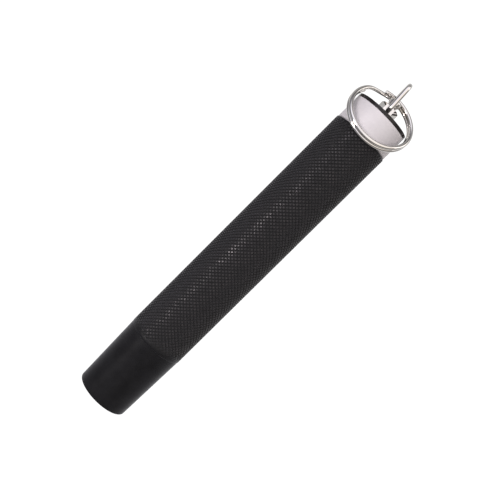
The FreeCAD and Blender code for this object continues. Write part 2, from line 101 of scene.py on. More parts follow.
# ---- threads ------------------------------------------------------------------------
THREAD_PITCH = 1.0 * MM
THREAD_DEPTH = 0.42 * MM
THREAD_ROOT = 1.25   # over 1, so that the root has a flat
THREAD_FLANK = 1.6   # the flanks' steepness
BORE_THREAD_START = 0.6 * MM
BORE_THREAD_MOUTH = 3.2 * MM
BORE_STEPS_PER_TURN = 6
PLUG_THREAD_MARGIN = 0.9 * MM
PLUG_STEPS_PER_TURN = 8

# ---- turned parts ---------------------------------------------------------------------
LATHE_SEGMENTS = 192
SAME_CORNER_MM = 0.012
NOSE_EDGE = 0.05 * MM
COLLAR_EDGE = 0.16 * MM
TURNED_EDGE = 0.12 * MM
SHARP = 0.0
EDGE_STEPS = 3
EDGE_LARGEST_SHARE = 0.33
EDGE_SMALLEST = 0.004 * MM
EDGE_SMALLEST_TURN_DEG = 12
EDGE_SUPPORT = 1.35

# ---- bent wire ------------------------------------------------------------------------
WIRE_SIDES = 32
WIRE_END_TAPER = 0.28
RING_FIRST_END_DEG = 63.0
RING_SECOND_END_DEG = 25.0
RING_STEPS = 360
RING_TURN_GAP = 0.04 * MM
RING_END_ROUND = 0.22 * MM
BAIL_TOP_BEND = 3.0 * MM
BAIL_FOOT_BEND = 1.6 * MM
BAIL_REST_DEG = 3.3
BAIL_BEND_STEPS = 12
BAIL_END_ROUND = 0.20 * MM

# ---- edges turned more than this are kept crisp -----------------------------------------
KNURL_CREASE_DEG = 24
TURNED_CREASE_DEG = 32
WIRE_CREASE_DEG = 40

# ---- camera ---------------------------------------------------------------------------
CAMERA_PLACE = Vector((92.09, 2.316, 241.98)) * MM
CAMERA_TURN_DEG = (0.748, -5.071, 44.768)
CAMERA_LENS = 52.43
CAMERA_SENSOR = 36.0
CAMERA_SHIFT = 0.001
CAMERA_CLIP = (0.005, 20)

# ---- floor, which glows with a painted pool of light that falls off away from the tool ---
FLOOR_DROP = 160 * MM
FLOOR_SIZE = 6.0
POOL_CENTRE = (90 * MM, -40 * MM, cad_low.z - FLOOR_DROP)
POOL_START = 0.12
POOL_END = 0.42
POOL_BRIGHT = 0.98
POOL_DIM = 0.42
FLOOR_SEEN = 1.15
FLOOR_GLOW_SHARE = 0.9

# ---- sky: (cosine of the angle from the dome's axis, brightness) ------------------------
DOME_AXIS = (0.5, 0.0, 0.866)
SKY_PEAK = 1.25
SKY = (
    (-1.00, 0.30),
    (0.00, 0.24),
    (0.50, 0.22),
    (0.58, 0.42),
    (0.66, 1.00),
    (0.80, 1.25),
    (1.00, 1.25),
)
TINT_KEY_SIDE = (0.95, 0.94, 1.04, 1)
TINT_FAR_SIDE = (1.04, 0.97, 0.90, 1)
TINT_REACH = 0.5   # the tint changes over this much of the direction's Y, either way
BACKDROP = (1.0, 1.0, 1.0, 1)

# ---- colours --------------------------------------------------------------------------
BLACK_TONE = (0.009, 0.009, 0.010)
DUST_TONE = (0.018, 0.0178, 0.0185)
RUBBED_TONE = (0.050, 0.047, 0.049)
SHEEN_TINT = (0.90, 0.90, 1.0, 1)
SATIN_SILVER_TONE = (0.71, 0.682, 0.704)
BRASS_TONE = (0.80, 0.60, 0.28)
STEEL_TONE = (0.58, 0.58, 0.59)
NICKEL_DULL, NICKEL_BRIGHT = (0.70, 0.67, 0.64), (0.80, 0.785, 0.77)
GLOSS_DARK, GLOSS_LIGHT = (0.012, 0.010, 0.010), (0.020, 0.017, 0.017)
SEAL_TONE = (0.018, 0.018, 0.018)
FOAM_TONE = (0.09, 0.09, 0.10)
ACETAL_TONE = (0.66, 0.65, 0.62)
PAPER_DARK, PAPER_LIGHT = (0.48, 0.47, 0.47), (0.52, 0.51, 0.51)


# ======================================================================================
# Node helpers
# ======================================================================================
def shade(colour, factor):
    return tuple(factor * c for c in colour)


class Nodes:
    """A small helper that adds and links the nodes of one tree."""

    def __init__(self, tree):
        self.tree = tree

    def add(self, kind, **values):
        """A node of this kind, with its sockets and properties set by name."""
        node = self.tree.nodes.new(kind)
        for key, value in values.items():
            if key in node.inputs:
                node.inputs[key].default_value = value
            else:
                setattr(node, key, value)
        return node

    def feed(self, socket, value):
        """Link the socket to an output, or set it to a plain value."""
        if isinstance(value, bpy.types.NodeSocket):
            self.tree.links.new(value, socket)
        else:
            socket.default_value = value

    def multiply(self, first, second):
        node = self.add("ShaderNodeMath", operation="MULTIPLY")
        self.feed(node.inputs[0], first)
        self.feed(node.inputs[1], second)
        return node.outputs["Value"]

    def remap(self, value, low, high, from_low, from_high):
        """value from from_low..from_high to low..high."""
        node = self.add("ShaderNodeMapRange")
        for key, number in (("From Min", from_low), ("From Max", from_high),
                            ("To Min", low), ("To Max", high)):
            node.inputs[key].default_value = number
        self.feed(node.inputs["Value"], value)
        return node.outputs["Result"]

    def mix(self, factor, first, second, data_type="FLOAT"):
        """From first at factor 0 to second at factor 1, each an output or a value."""
        node = self.add("ShaderNodeMix", data_type=data_type)
        self.feed(node.inputs["A"], first)
        self.feed(node.inputs["B"], second)
        self.feed(node.inputs["Factor"], factor)
        return node.outputs["Result"]

    def mix_shader(self, factor, first, second, output):
        """Send a mix of two shaders to the tree's output node."""
        mix = self.add("ShaderNodeMixShader")
        self.feed(mix.inputs["Fac"], factor)
        self.feed(mix.inputs[1], first)
        self.feed(mix.inputs[2], second)
        self.feed(self.tree.nodes[output].inputs["Surface"], mix.outputs["Shader"])

    def seen_by_camera(self):
        return self.add("ShaderNodeLightPath").outputs["Is Camera Ray"]


class Surface(Nodes):
    """The nodes of one new material, round its Principled shader."""

    def __init__(self, name):
        self.material = bpy.data.materials.new(name)
        self.material.use_nodes = True
        super().__init__(self.material.node_tree)
        self.shader = self.tree.nodes["Principled BSDF"]
        self.coords = self.add("ShaderNodeTexCoord").outputs["Object"]

    def set(self, **values):
        """Principled inputs by name, with underscores for spaces."""
        for key, value in values.items():
            self.feed(self.shader.inputs[key.replace("_", " ")], value)

    def noise(self, scale, detail, stretch=(1, 1, 1)):
        mapping = self.add("ShaderNodeMapping", Scale=stretch)
        self.feed(mapping.inputs["Vector"], self.coords)
        node = self.add("ShaderNodeTexNoise", Scale=scale, Detail=detail)
        self.feed(node.inputs["Vector"], mapping.outputs["Vector"])
        return node.outputs["Fac"]

    def vary(self, noise, low, high):
        """A noise, which lies mostly in 0.3..0.7, spread over low..high."""
        return self.remap(noise, low, high, 0.3, 0.7)

    def mottled(self, noise, first, second):
        """A colour that wanders between two tones."""
        return self.mix(self.vary(noise, 0, 1), (*first, 1), (*second, 1), "RGBA")

    def bump(self, height, strength, distance):
        node = self.add("ShaderNodeBump", Strength=strength, Distance=distance)
        self.feed(node.inputs["Height"], height)
        self.set(Normal=node.outputs["Normal"])


# ======================================================================================
# Materials
# ======================================================================================
def satin_black(name, grain_stretch, specular, bloom):
    """Black anodised aluminium, near black and satin: its nodes, colour and roughness."""
    n = Surface(name)
    mottle = n.noise(scale=260.0, detail=4.0)
    colour = n.mottled(mottle, shade(BLACK_TONE, 0.75), shade(BLACK_TONE, 1.25))
    grain = n.noise(scale=900.0, detail=2.0, stretch=grain_stretch)
    rough = n.vary(grain, 0.35, 0.46)
    n.set(Metallic=0.0, Specular_IOR_Level=specular, Sheen_Weight=bloom, Sheen_Roughness=0.45,
          Sheen_Tint=SHEEN_TINT)
    n.bump(grain, strength=0.25, distance=0.02 * MM)
    return n, colour, rough


def nose_black():
    """Plain black anodising with fine turned grain round the cap."""
    n, colour, rough = satin_black("nose_black", (1.0, 0.03, 0.03), specular=0.08, bloom=0.19)
    n.set(Base_Color=colour, Roughness=rough)
    return n.material


def knurl_black():
    """Black anodising over a diamond knurl: dusty grooves, and crests a little rubbed."""
    n, colour, rough = satin_black("knurl_black", (1, 1, 1), specular=0.13, bloom=0.18)
    place = n.add("ShaderNodeAttribute", attribute_name=RUB_ATTRIBUTE).outputs["Fac"]
    dusty = n.remap(place, low=0, high=1, from_low=0.0, from_high=GROOVE_RUB)
    on_flat = n.remap(place, low=0, high=1, from_low=0.60, from_high=0.98)
    patches = n.remap(n.noise(scale=420.0, detail=4.0), low=0.25, high=1,
                      from_low=0.40, from_high=0.66)
    rubbed = n.multiply(on_flat, patches)
    colour = n.mix(dusty, colour, (*DUST_TONE, 1), "RGBA")
    colour = n.mix(rubbed, colour, (*RUBBED_TONE, 1), "RGBA")
    n.set(Base_Color=colour, Roughness=n.mix(rubbed, rough, 0.24),
          Metallic=n.multiply(rubbed, 0.60))
    return n.material


def turned_metal(name, tone, roughness, grain=0.18, metallic=1.0):
    """Metal turned on a lathe: fine rings across X, with slow changes of tone."""
    n = Surface(name)
    rings = n.noise(scale=2600.0, detail=2.0, stretch=(1.0, 0.02, 0.02))
    cloud = n.noise(scale=90.0, detail=3.0)
    n.set(Base_Color=n.mottled(cloud, shade(tone, 0.90), tone),
          Roughness=n.vary(rings, roughness - 0.05, roughness + 0.07), Metallic=metallic)
    n.bump(rings, strength=grain, distance=0.01 * MM)
    return n.material


def polished_nickel():
    """Polished nickel plate: bright and slightly warm, with faint ripples from buffing."""
    n = Surface("polished_nickel")
    ripple = n.noise(scale=520.0, detail=2.0)
    haze = n.noise(scale=140.0, detail=3.0)
    n.set(Base_Color=n.mottled(haze, NICKEL_DULL, NICKEL_BRIGHT),
          Roughness=n.vary(haze, 0.04, 0.09), Metallic=1.0)
    n.bump(ripple, strength=0.04, distance=0.04 * MM)
    return n.material


def gloss_black():
    """Smooth gloss black finish with a little orange peel."""
    n = Surface("gloss_black")
    peel = n.noise(scale=700.0, detail=1.0)
    haze = n.noise(scale=120.0, detail=2.0)
    n.set(Base_Color=n.mottled(haze, GLOSS_DARK, GLOSS_LIGHT),
          Roughness=n.vary(haze, 0.14, 0.22),
          Specular_IOR_Level=0.25, Coat_Weight=0.1, Coat_Roughness=0.08)
    n.bump(peel, strength=0.08, distance=0.03 * MM)
    return n.material


def rubber(name, tone):
    """Matt rubber or foam with fine pores."""
    n = Surface(name)
    pores = n.noise(scale=1500.0, detail=4.0)
    n.set(Base_Color=n.mottled(pores, shade(tone, 0.7), tone),
          Roughness=n.vary(pores, 0.62, 0.8))
    n.bump(pores, strength=0.5, distance=0.05 * MM)
    return n.material


def moulded_acetal():
    """Natural acetal: milky, slightly waxy."""
    n = Surface("rack_acetal")
    cloud = n.noise(scale=200.0, detail=3.0)
    n.set(Base_Color=n.mottled(cloud, shade(ACETAL_TONE, 0.92), ACETAL_TONE),
          Roughness=n.vary(cloud, 0.38, 0.48))
    n.bump(n.noise(scale=1800.0, detail=2.0), strength=0.2, distance=0.02 * MM)
    return n.material


def paper_floor_with_painted_glow():
    """White paper that glows with a painted pool of light, which falls off away from the tool."""
    n = Surface("studio_floor")
    paper = n.noise(scale=40.0, detail=4.0)
    n.set(Base_Color=n.mottled(paper, PAPER_DARK, PAPER_LIGHT), Roughness=0.9)
    away = n.add("ShaderNodeVectorMath", operation="DISTANCE")
    n.feed(away.inputs[0], n.coords)
    n.feed(away.inputs[1], POOL_CENTRE)
    # painted light: the floor's glow, which lights the tool, is a painted pool, brightest near POOL_CENTRE and
    # dimmer further out
    pool = n.remap(away.outputs["Value"], POOL_BRIGHT, POOL_DIM, POOL_START, POOL_END)
    glow = n.add("ShaderNodeEmission", Color=(1, 1, 1, 1))
    n.feed(glow.inputs["Strength"], n.mix(n.seen_by_camera(), pool, FLOOR_SEEN))
    # the painted glow makes up FLOOR_GLOW_SHARE of the floor, and the paper's own shading makes up the rest
    n.mix_shader(FLOOR_GLOW_SHARE, n.shader.outputs["BSDF"], glow.outputs["Emission"],
                 "Material Output")
    return n.material


KNURL_BLACK = knurl_black()
SLOT_MATERIALS = {
    "black_anodised": nose_black(),
    "satin_silver": turned_metal("satin_silver", SATIN_SILVER_TONE, 0.60, grain=0.10,
                                 metallic=0.12),
    "gloss_black": gloss_black(),
    "polished_nickel": polished_nickel(),
    "brass": turned_metal("turned_brass", BRASS_TONE, 0.26),
    "tool_steel": turned_metal("ground_steel", STEEL_TONE, 0.28),
    "seal_rubber": rubber("seal_rubber", SEAL_TONE),
    "foam": rubber("bay_foam", FOAM_TONE),
    "rack_plastic": moulded_acetal(),
}


# ======================================================================================
# Mesh helpers
# ======================================================================================
def polar(x, r, angle):
    return (x, r * math.cos(angle), r * math.sin(angle))


def signed_volume(verts, faces):
    total = 0.0
    for face in faces:
        p = [Vector(verts[i]) for i in face]
        for k in range(1, len(p) - 1):
            total += p[0].dot(p[k].cross(p[k + 1]))
    return total / 6


def facing_out(verts, faces):
    """The same faces, turned so that they face out of the solid."""
    if signed_volume(verts, faces) < 0:
        return [tuple(reversed(f)) for f in faces]
    return faces


def shade_by_angle(mesh, degrees):
    """Smooth shading that keeps edges sharper than this angle crisp."""
    mesh.polygons.foreach_set("use_smooth", [True] * len(mesh.polygons))
    mesh.update()
    limit = math.radians(degrees)
    normals = {}
    for poly in mesh.polygons:
        for key in poly.edge_keys:
            normals.setdefault(key, []).append(poly.normal.copy())
    sharp = []
    for edge in mesh.edges:
        near = normals.get(edge.key, [])
        sharp.append(len(near) == 2 and near[0].angle(near[1], 0) > limit)
    attribute = mesh.attributes.new("sharp_edge", "BOOLEAN", "EDGE")
    attribute.data.foreach_set("value", sharp)


def make_piece(name, node, body, verts, faces, crease, material=None):
    """A mesh object that stands for one CAD node and rides on its body.

    Its material is the one of the node's slot, unless another is given.
    """
    slot = NODE_SLOTS[node]
    mesh = bpy.data.meshes.new(name)
    mesh.from_pydata([tuple(v) for v in verts], [], facing_out(verts, faces))
    mesh.validate()
    mesh.materials.append(material or SLOT_MATERIALS[slot])
    shade_by_angle(mesh, crease)
    piece = bpy.data.objects.new(name, mesh)
    bpy.context.scene.collection.objects.link(piece)
    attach(piece, body)
    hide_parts(node)
    return piece


def seam_outline(node):
    """The (x, r) outline of a turned CAD node, as an ordered list of corners.

    Every edge of a turned solid's mesh joins points of the same or of neighbouring
    outline corners, so the corners and their neighbours give the outline.  The flat disc
    at each end of a solid shape has no point on the axis, so that point is added.
    """
    mesh = NODES[node].data
    keys = []
    for v in mesh.vertices:
        r = math.hypot(v.co.y, v.co.z)
        keys.append((round(v.co.x / MM, 3), round(r / MM, 3)))
    merged = {}
    corners = []
    for key in sorted(set(keys)):
        near = [c for c in corners if math.dist(c, key) < SAME_CORNER_MM]
        if near:
            merged[key] = near[0]
        else:
            corners.append(key)
            merged[key] = key
    links = {c: set() for c in corners}
    for edge in mesh.edges:
        a, b = (merged[keys[i]] for i in edge.vertices)
        if a != b:
            links[a].add(b)
            links[b].add(a)
    start = min((c for c in corners if len(links[c]) == 1), default=min(corners))
    path = [start]
    while True:
        onward = [c for c in links[path[-1]] if c not in path]
        if not onward:
            break
        path.append(min(onward, key=lambda c: math.dist(c, path[-1])))
    if len(links[start]) == 1:
        path = [(path[0][0], 0.0)] + path + [(path[-1][0], 0.0)]
    return [(x * MM, r * MM) for x, r in path]


def is_loop(outline):
    """True if the outline closes on itself, and False if it ends on the axis."""
    return outline[0][1] > TOLERANCE


def broken_edges(outline, size):
    """The outline with a small round at each corner and a support point beside it."""
    out = []
    count = len(outline)
    for i, here in enumerate(outline):
        end = not is_loop(outline) and i in (0, count - 1)
        if here[1] < TOLERANCE or end:
            out.append(here)
            continue
        p = Vector(here)
        before = Vector(outline[i - 1]) - p
        after = Vector(outline[(i + 1) % count]) - p
        turn = before.angle(-after)
        cut = min(size, before.length * EDGE_LARGEST_SHARE, after.length * EDGE_LARGEST_SHARE)
        if turn < math.radians(EDGE_SMALLEST_TURN_DEG) or cut < EDGE_SMALLEST:
            out.append(here)
            continue
        a = p + before.normalized() * cut
        b = p + after.normalized() * cut
        out.append(tuple(p + before.normalized() * cut * EDGE_SUPPORT))
        for k in range(EDGE_STEPS + 1):
            t = k / EDGE_STEPS
            out.append(tuple(a * (1 - t) ** 2 + p * 2 * t * (1 - t) + b * t * t))
        out.append(tuple(p + after.normalized() * cut * EDGE_SUPPORT))
    return out


def lathe_mesh(outline, radius_at):
    """Vertices and faces of an outline turned around X.

    radius_at(x, r, angle) gives the radius at each point, as a thread changes it.
    """
    verts, rings = [], []
    for x, r in outline:
        if r < TOLERANCE:
            rings.append([len(verts)])
            verts.append((x, 0, 0))
            continue
        ring = []
        for s in range(LATHE_SEGMENTS):
            angle = TURN * s / LATHE_SEGMENTS
            ring.append(len(verts))
            verts.append(polar(x, radius_at(x, r, angle), angle))
        rings.append(ring)
    pairs = list(zip(rings, rings[1:]))
    if is_loop(outline):
        pairs.append((rings[-1], rings[0]))
    faces = []
    for a, b in pairs:
        for s in range(LATHE_SEGMENTS):
            t = (s + 1) % LATHE_SEGMENTS
            if len(a) == 1:
                faces.append((a[0], b[t], b[s]))
            elif len(b) == 1:
                faces.append((a[s], a[t], b[0]))
            else:
                faces.append((a[s], a[t], b[t], b[s]))
    return verts, faces


def turned_piece(name, node, body, outline, radius_at=lambda x, r, angle: r):
    """A turned CAD node rebuilt finely from an outline."""
    verts, faces = lathe_mesh(outline, radius_at)
    make_piece(name, node, body, verts, faces, TURNED_CREASE_DEG)


def swept_wire(path, radius_x, radius_y, side_at, end_round):
    """A solid of elliptical section swept along a list of points.

    side_at(i) gives the section's first axis at point i, which must not lie along
    the path.  The two ends narrow over a length of end_round.
    """
    path = [Vector(p) for p in path]
    count = len(path)
    verts, faces = [], []
    run = [0.0]
    for a, b in zip(path, path[1:]):
        run.append(run[-1] + (b - a).length)
    for i, p in enumerate(path):
        ahead = path[min(i + 1, count - 1)] - path[max(i - 1, 0)]
        ahead.normalize()
        first = Vector(side_at(i))
        first = (first - ahead * first.dot(ahead)).normalized()
        second = ahead.cross(first)
        to_end = min(run[i], run[-1] - run[i])
        near_end = max(0.0, 1 - to_end / end_round)
        shrink = 1 - WIRE_END_TAPER * near_end * near_end
        for s in range(WIRE_SIDES):
            angle = TURN * s / WIRE_SIDES
            across, up = radius_x * math.cos(angle), radius_y * math.sin(angle)
            verts.append(p + (first * across + second * up) * shrink)
    for i in range(count - 1):
        for s in range(WIRE_SIDES):
            t = (s + 1) % WIRE_SIDES
            a, b = i * WIRE_SIDES, (i + 1) * WIRE_SIDES
            faces.append((a + s, a + t, b + t, b + s))
    faces.append(tuple(range(WIRE_SIDES - 1, -1, -1)))
    last = (count - 1) * WIRE_SIDES
    faces.append(tuple(range(last, last + WIRE_SIDES)))
    return verts, faces


def thread_stations(start, end, per_turn):
    """Places along X from start to end, per_turn of them to each turn of the thread."""
    steps = int((end - start) / (THREAD_PITCH / per_turn))
    return [start + (end - start) * k / steps for k in range(steps + 1)]


def thread_wave(x, angle):
    """0 on a thread's crest, 1 at its root, for a right-hand thread along X."""
    phase = (x / THREAD_PITCH - angle / TURN) % 1.0
    return min(1.0, max(0.0, THREAD_ROOT - abs(2 * phase - 1) * THREAD_FLANK))


# ======================================================================================
# Knurled handle
# ======================================================================================
class KnurlSkin:
    """Diamond knurl between two lands: V grooves, with a small worn flat on each diamond.

    One of the two knurling wheels cuts less deep, so the grooves of its hand are
    shallower between the crossings.  Ring k holds every other one of the 2 x
    KNURL_STARTS places round the tube as a groove crossing, and has a diamond at each
    place between them.  rub says how much each vertex is rubbed.
    """

    def __init__(self, start, end, crest):
        self.start, self.end, self.crest = start, end, crest
        self.rows = round((end - start) / (KNURL_AXIAL_PITCH / 2))
        self.half_pitch = (end - start) / self.rows
        self.step = TURN / KNURL_STARTS
        self.rng = random.Random(KNURL_SEED)
        self.verts, self.faces, self.rub = [], [], []
        self.shallow = {}
        self.valley = [self.valley_ring(k) for k in range(self.rows + 1)]
        self.edges = {0: {}, self.rows: {}}
        for k in range(self.rows + 1):
            for m in range(KNURL_STARTS):
                place = 2 * m + (k + 1) % 2
                if k in self.edges:
                    self.half_diamond(k, place)
                else:
                    self.diamond(k, place)

    def add(self, point, rub=0.0):
        self.verts.append(point)
        self.rub.append(rub)
        return len(self.verts) - 1

    def runout(self, x, angle):
        """How deep the knurl is at x, from 0 at its ends to 1 inside."""
        ragged = sum(share * math.sin(waves * angle + phase)
                     for share, waves, phase in RUNOUT_WAVES)
        front = (x - self.start) / (KNURL_FRONT_RUNOUT * (1.0 + RUNOUT_WAVE_REACH * ragged))
        tail = (self.end - x) / KNURL_TAIL_RUNOUT
        t = max(0.0, min(1.0, front, tail))
        return t * t * (3 - 2 * t)

    def valley_ring(self, k):
        """The groove crossings of ring k."""
        ring = []
        x = self.start + k * self.half_pitch
        for m in range(KNURL_STARTS):
            angle = self.step * (m + (k % 2) / 2)
            share = self.runout(x, angle)
            spread = self.rng.uniform(-KNURL_DEPTH_SPREAD, KNURL_DEPTH_SPREAD)
            depth = KNURL_DEPTH * share * (1 + spread)
            ring.append(self.add(polar(x, self.crest - depth, angle), GROOVE_RUB * share))
        return ring

    def valley_at(self, k, place):
        """The crossing of ring k at place half steps round."""
        return self.valley[k][((place - k % 2) // 2) % KNURL_STARTS]

    def shallow_middle(self, a, b):
        """The raised point half way along a shallow groove between two crossings."""
        key = (min(a, b), max(a, b))
        if key not in self.shallow:
            middle = (Vector(self.verts[a]) + Vector(self.verts[b])) / 2
            reach = math.hypot(middle.y, middle.z)
            out = self.crest - (self.crest - reach) * KNURL_SHALLOW_SHARE
            point = (middle.x, middle.y * out / reach, middle.z * out / reach)
            self.shallow[key] = self.add(point, max(self.rub[a], self.rub[b]))
        return self.shallow[key]

    def flat_corner(self, x, angle, dx, turn, rub):
        lift = self.rng.uniform(-KNURL_WEAR, 0)
        return self.add(polar(x + dx, self.crest + lift, angle + turn), rub)

    def diamond(self, k, place):
        """One diamond of ring k, between its four crossings."""
        x = self.start + k * self.half_pitch
        angle = self.step * place / 2
        front, back = self.valley_at(k - 1, place), self.valley_at(k + 1, place)
        left, right = self.valley_at(k, place - 1), self.valley_at(k, place + 1)
        dx = self.half_pitch * KNURL_FLAT_SHARE
        turn = self.step / 2 * KNURL_FLAT_SHARE
        rub = self.runout(x, angle)
        flat_front = self.flat_corner(x, angle, -dx, 0, rub)
        flat_right = self.flat_corner(x, angle, 0, turn, rub)
        flat_back = self.flat_corner(x, angle, dx, 0, rub)
        flat_left = self.flat_corner(x, angle, 0, -turn, rub)
        near, far = self.shallow_middle(left, front), self.shallow_middle(right, back)
        self.faces += [
            (flat_front, flat_right, flat_back, flat_left),
            (front, right, flat_right, flat_front),
            (back, left, flat_left, flat_back),
            (right, far, flat_right),
            (far, flat_back, flat_right),
            (far, back, flat_back),
            (left, near, flat_left),
            (near, flat_front, flat_left),
            (near, front, flat_front),
        ]

    def half_diamond(self, k, place):
        """The half of a diamond that meets the land at the first or the last ring."""
        at_front = k == 0
        left, right = self.valley_at(k, place - 1), self.valley_at(k, place + 1)
        tip = self.valley_at(k + 1 if at_front else k - 1, place)
        x = self.start + k * self.half_pitch
        middle = self.add(polar(x, self.crest, self.step * place / 2))
        self.edges[k][place] = middle
        self.edges[k][(place + 1) % (2 * KNURL_STARTS)] = right
        if at_front:
            far = self.shallow_middle(tip, right)
            self.faces += [(middle, tip, left), (far, tip, middle), (right, far, middle)]
        else:
            far = self.shallow_middle(left, tip)
            self.faces += [(far, middle, left), (tip, middle, far), (tip, right, middle)]

    def edge_ring(self, k):
        """The vertices of the first or the last ring, in order round the tube."""
        return [self.edges[k][place] for place in sorted(self.edges[k])]


def bore_outline():
    """The handle's inside outline from its front face to its tail face."""
    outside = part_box("knurled_handle")[1].z / MM - THINNEST_WALL_MM
    points = {}
    for v in NODES["knurled_handle"].data.vertices:
        x = round(v.co.x / MM, 3)
        r = round(math.hypot(v.co.y, v.co.z) / MM, 2)
        if r < outside:
            points.setdefault(x, set()).add(r)
    path = []
    for x in sorted(points):
        radii = sorted(points[x])
        kept = [r for i, r in enumerate(radii) if i == 0 or r - radii[i - 1] > SAME_RADIUS_MM]
        if path and len(kept) > 1 and abs(kept[-1] - path[-1][1]) < abs(kept[0] - path[-1][1]):
            kept.reverse()
        path += [(x, r) for r in kept]
    return [(x * MM, r * MM) for x, r in path]


def knurled_handle():
    """The tube: knurl outside, plain lands at its ends, and a threaded tail bore."""
    low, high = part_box("knurled_handle")
    crest = high.z
    skin = KnurlSkin(low.x + KNURL_FRONT_LAND, high.x - KNURL_TAIL_LAND, crest)
    bore = bore_outline()
    thread_from = bore[-3][0] + BORE_THREAD_START
    thread_to = bore[-1][0] - BORE_THREAD_MOUTH
    stations = thread_stations(thread_from, thread_to, BORE_STEPS_PER_TURN)
    profile = [(low.x + inset, crest - drop) for inset, drop in FRONT_LAND]
    profile += bore[:-2] + [(x, bore[-2][1]) for x in stations] + bore[-2:]
    profile += [(high.x - inset, crest - drop) for inset, drop in TAIL_LAND]
    count = 2 * KNURL_STARTS
    rings = [skin.edge_ring(0)]
    for x, r in profile:
        threaded = thread_from < x < thread_to
        ring = []
        for s in range(count):
            angle = TURN * s / count
            cut = THREAD_DEPTH * thread_wave(x, angle) if threaded else 0.0
            ring.append(skin.add(polar(x, r + cut, angle)))
        rings.append(ring)
    rings.append(skin.edge_ring(skin.rows))
    for a, b in zip(rings, rings[1:]):
        for s in range(count):
            t = (s + 1) % count
            skin.faces.append((a[s], b[s], b[t], a[t]))
    piece = make_piece("handle_knurl", "knurled_handle", "handle", skin.verts, skin.faces,
                       KNURL_CREASE_DEG, KNURL_BLACK)
    rub = piece.data.attributes.new(RUB_ATTRIBUTE, "FLOAT", "POINT")
    rub.data.foreach_set("value", skin.rub)


# ======================================================================================
# Turned parts
# ======================================================================================
def plain_turned_piece(name, node, body, edge):
    turned_piece(name, node, body, broken_edges(seam_outline(node), edge))


def nose_cap():
    plain_turned_piece("nose_cap_shell", "nose_cap", "nose_cap", NOSE_EDGE)


def tail_cap():
    """Silver collar with a real helical thread on its plug."""
    outline = broken_edges(seam_outline("tail_cap"), COLLAR_EDGE)
    seal_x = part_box("tail_seal_ring")[0].x
    thread_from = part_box("tail_cap")[0].x + PLUG_THREAD_MARGIN
    thread_to = seal_x - PLUG_THREAD_MARGIN
    plug_r = max(r for x, r in outline if x < seal_x)
    dense = []
    for a, b in zip(outline, outline[1:] + outline[:1]):
        dense.append(a)
        along = abs(a[1] - plug_r) < TOLERANCE and abs(b[1] - plug_r) < TOLERANCE
        if along and min(a[0], b[0]) < thread_from and max(a[0], b[0]) > thread_to:
            stations = thread_stations(thread_from, thread_to, PLUG_STEPS_PER_TURN)
            if b[0] < a[0]:
                stations.reverse()
            dense += [(x, plug_r) for x in stations]

    def radius_at(x, r, angle):
        if abs(r - plug_r) > TOLERANCE or not thread_from < x < thread_to:
            return r
        fade = min(1.0, (x - thread_from) / THREAD_PITCH, (thread_to - x) / THREAD_PITCH)
        return r - THREAD_DEPTH * fade * thread_wave(x, angle)

    turned_piece("tail_cap_collar", "tail_cap", "tail_cap", dense, radius_at)


def small_turned_parts():
    plain_turned_piece("end_disc_gloss", "end_disc", "tail_cap", TURNED_EDGE)
    plain_turned_piece("swivel_post_ball", "swivel_post", "tail_cap", TURNED_EDGE)
    plain_turned_piece("tip_holder_brass", "tip_holder", "handle", TURNED_EDGE)
    plain_turned_piece("tail_seal", "tail_seal_ring", "tail_cap", SHARP)
    plain_turned_piece("cap_seal", "cap_seal_ring", "handle", SHARP)


# ======================================================================================
# Key ring
# ======================================================================================
def split_ring():
    """Two turns of oval wire side by side, with a crossover between the cut ends."""
    eye = MOUNTS["split_ring_eye"]
    centre, normal = Vector(eye["pos_m"]), Vector(eye["axis"]).normalized()
    to_hook = Vector(JOINTS["ring_swing"]["pos_m"]) - centre
    mean_r = to_hook.length
    to_hook.normalize()
    side = normal.cross(to_hook)
    half_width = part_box("split_ring")[1].y - mean_r
    low = min(normal.dot(v.co - centre) for v in NODES["split_ring"].data.vertices)
    half_height = (-low - RING_TURN_GAP / 2) / 2
    offset = -low - half_height
    first, second = RING_FIRST_END_DEG, RING_SECOND_END_DEG
    total = 720 - (first - second)
    path, outward = [], []
    for i in range(RING_STEPS + 1):
        angle = first + total * i / RING_STEPS
        t = min(1.0, max(0.0, (angle - second - 360) / (first - second)))
        height = offset * (2 * t * t * (3 - 2 * t) - 1)
        spread = math.radians(angle)
        out = to_hook * math.cos(spread) + side * math.sin(spread)
        path.append(centre + out * mean_r + normal * height)
        outward.append(out)
    verts, faces = swept_wire(path, half_width, half_height, lambda i: outward[i],
                              RING_END_ROUND)
    make_piece("split_ring_wire", "split_ring", "split_ring", verts, faces, WIRE_CREASE_DEG)


